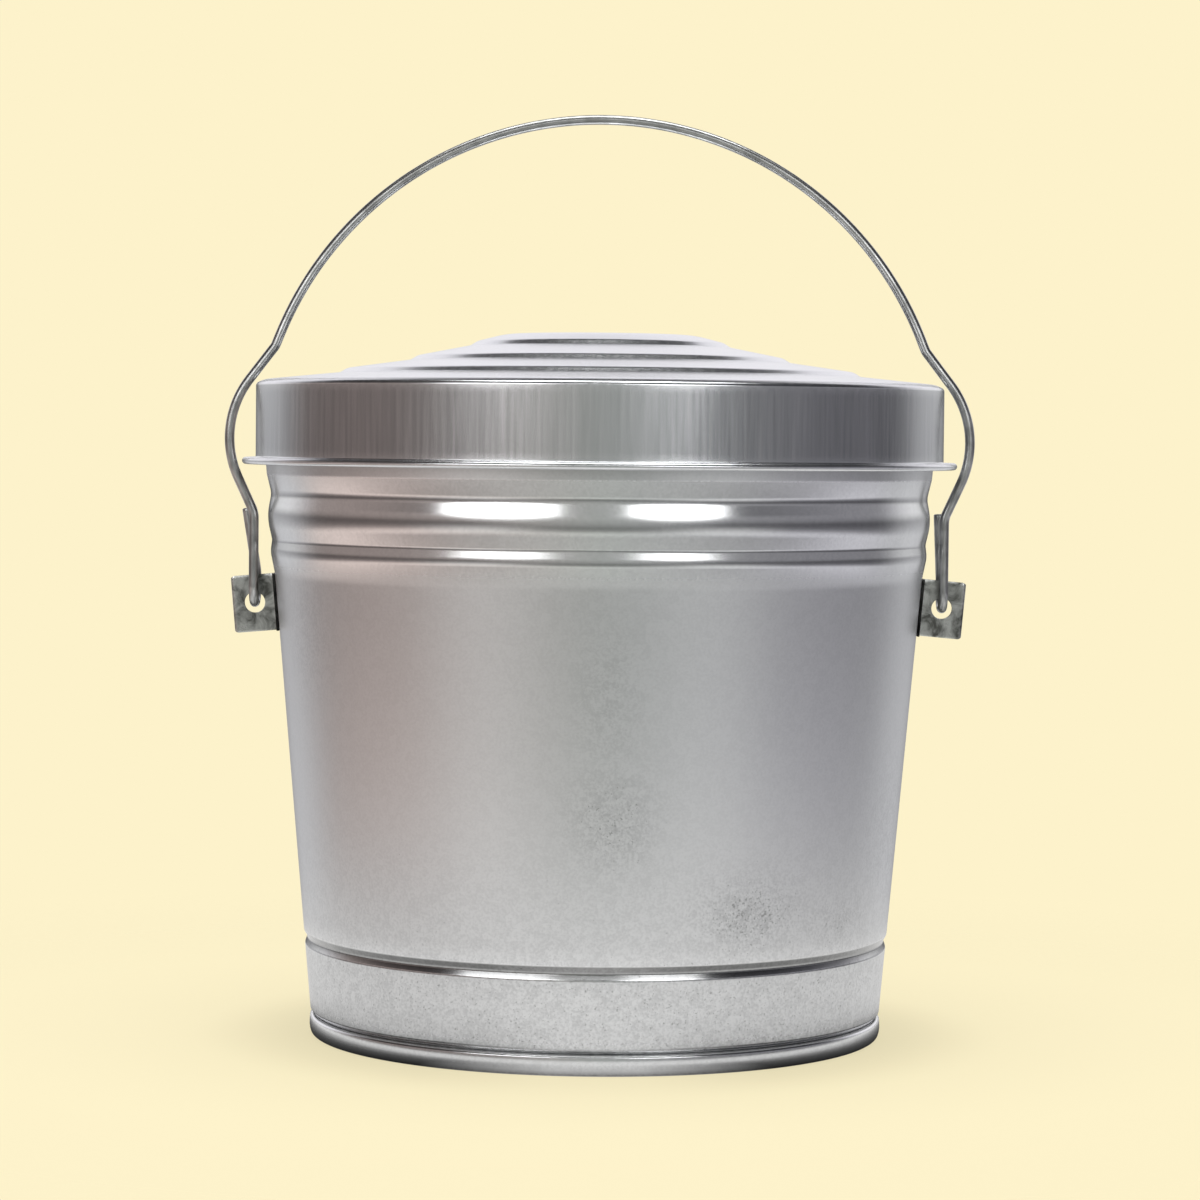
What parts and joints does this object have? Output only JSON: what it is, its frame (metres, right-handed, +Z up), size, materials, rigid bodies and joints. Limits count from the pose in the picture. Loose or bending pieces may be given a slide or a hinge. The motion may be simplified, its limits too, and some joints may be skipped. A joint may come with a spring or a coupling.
{
  "type": "galvanized storage can",
  "caption": "Tapered galvanized steel storage can with rolled beads, a stepped lid with a curled flange, strap ears and a wire bail whose kinked sides lock over the lid.",
  "frame": {"origin": "centre of the can's axis at the level of its foot, where it stands", "axes": "+Z up along the can's axis; the ears and the bail's hinge lie along X; the pictured front faces -Y and the side seam is at +Y"},
  "size_m": [0.3506, 0.3346, 0.4304],
  "materials": {
    "galvanized_wall": "satin galvanized sheet with a faint mottle",
    "galvanized_lid": "satin galvanized sheet, drawn smooth",
    "galvanized_wire": "drawn galvanized wire",
    "ear_strap": "dull, blotchy galvanized strap"
  },
  "bodies": {
    "can": {"can_wall": "galvanized_wall", "rim_wire": "galvanized_wire", "bottom_pan": "galvanized_wall", "left_ear": "ear_strap", "right_ear": "ear_strap"},
    "lid": {"lid_cover": "galvanized_lid"},
    "bail": {"bail_wire": "galvanized_wire"}
  },
  "joints": [
    {"name": "bail_swing", "type": "hinge", "parent": "can", "child": "bail", "pos_m": [0, 0, 0.20959], "axis": [1, 0, 0], "range_deg": [-115, 115]},
    {"name": "lid_turn", "type": "hinge", "parent": "can", "child": "lid", "pos_m": [0, 0, 0.304], "axis": [0, 0, 1], "continuous": true}
  ]
}
